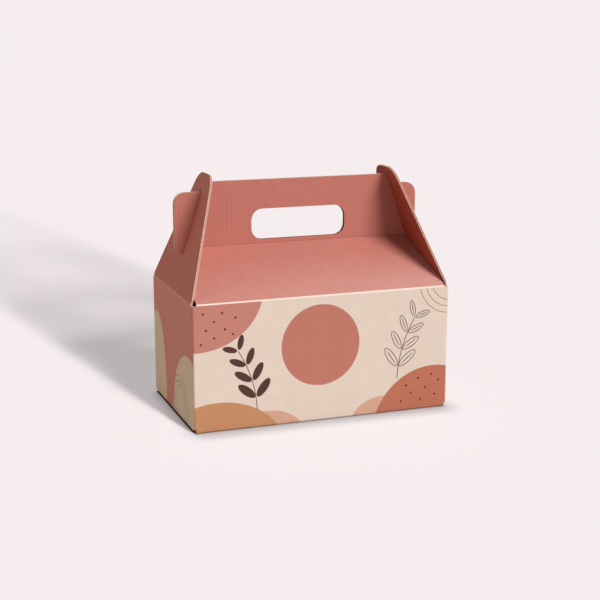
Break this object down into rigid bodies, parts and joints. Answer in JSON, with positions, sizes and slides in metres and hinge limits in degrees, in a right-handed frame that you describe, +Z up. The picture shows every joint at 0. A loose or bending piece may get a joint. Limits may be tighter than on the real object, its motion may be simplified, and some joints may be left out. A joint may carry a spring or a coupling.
{
  "type": "gable-top carry box",
  "caption": "Folded corrugated carry box with a sloping roof, a double handle with a hand hole, and a tall slotted flap leaning in at each end.",
  "frame": {"origin": "middle of the underside, on the surface the box stands on", "axes": "+Z up, +X along the front wall to the right, the front wall faces -Y"},
  "size_m": [0.2, 0.116, 0.1803],
  "materials": {
    "cream_print": "matt printed corrugated board",
    "rose_print": "matt printed corrugated board"
  },
  "bodies": {
    "carton": {"carton": "cream_print"},
    "left_flap": {"left_gable_flap": "rose_print"},
    "right_flap": {"right_gable_flap": "rose_print"}
  },
  "joints": [
    {"name": "left_flap_crease", "type": "hinge", "parent": "carton", "child": "left_flap", "pos_m": [-0.09925, 0, 0.095], "axis": [0, -1, 0], "range_deg": [0, 110]},
    {"name": "right_flap_crease", "type": "hinge", "parent": "carton", "child": "right_flap", "pos_m": [0.09925, 0, 0.095], "axis": [0, 1, 0], "range_deg": [0, 110]}
  ]
}
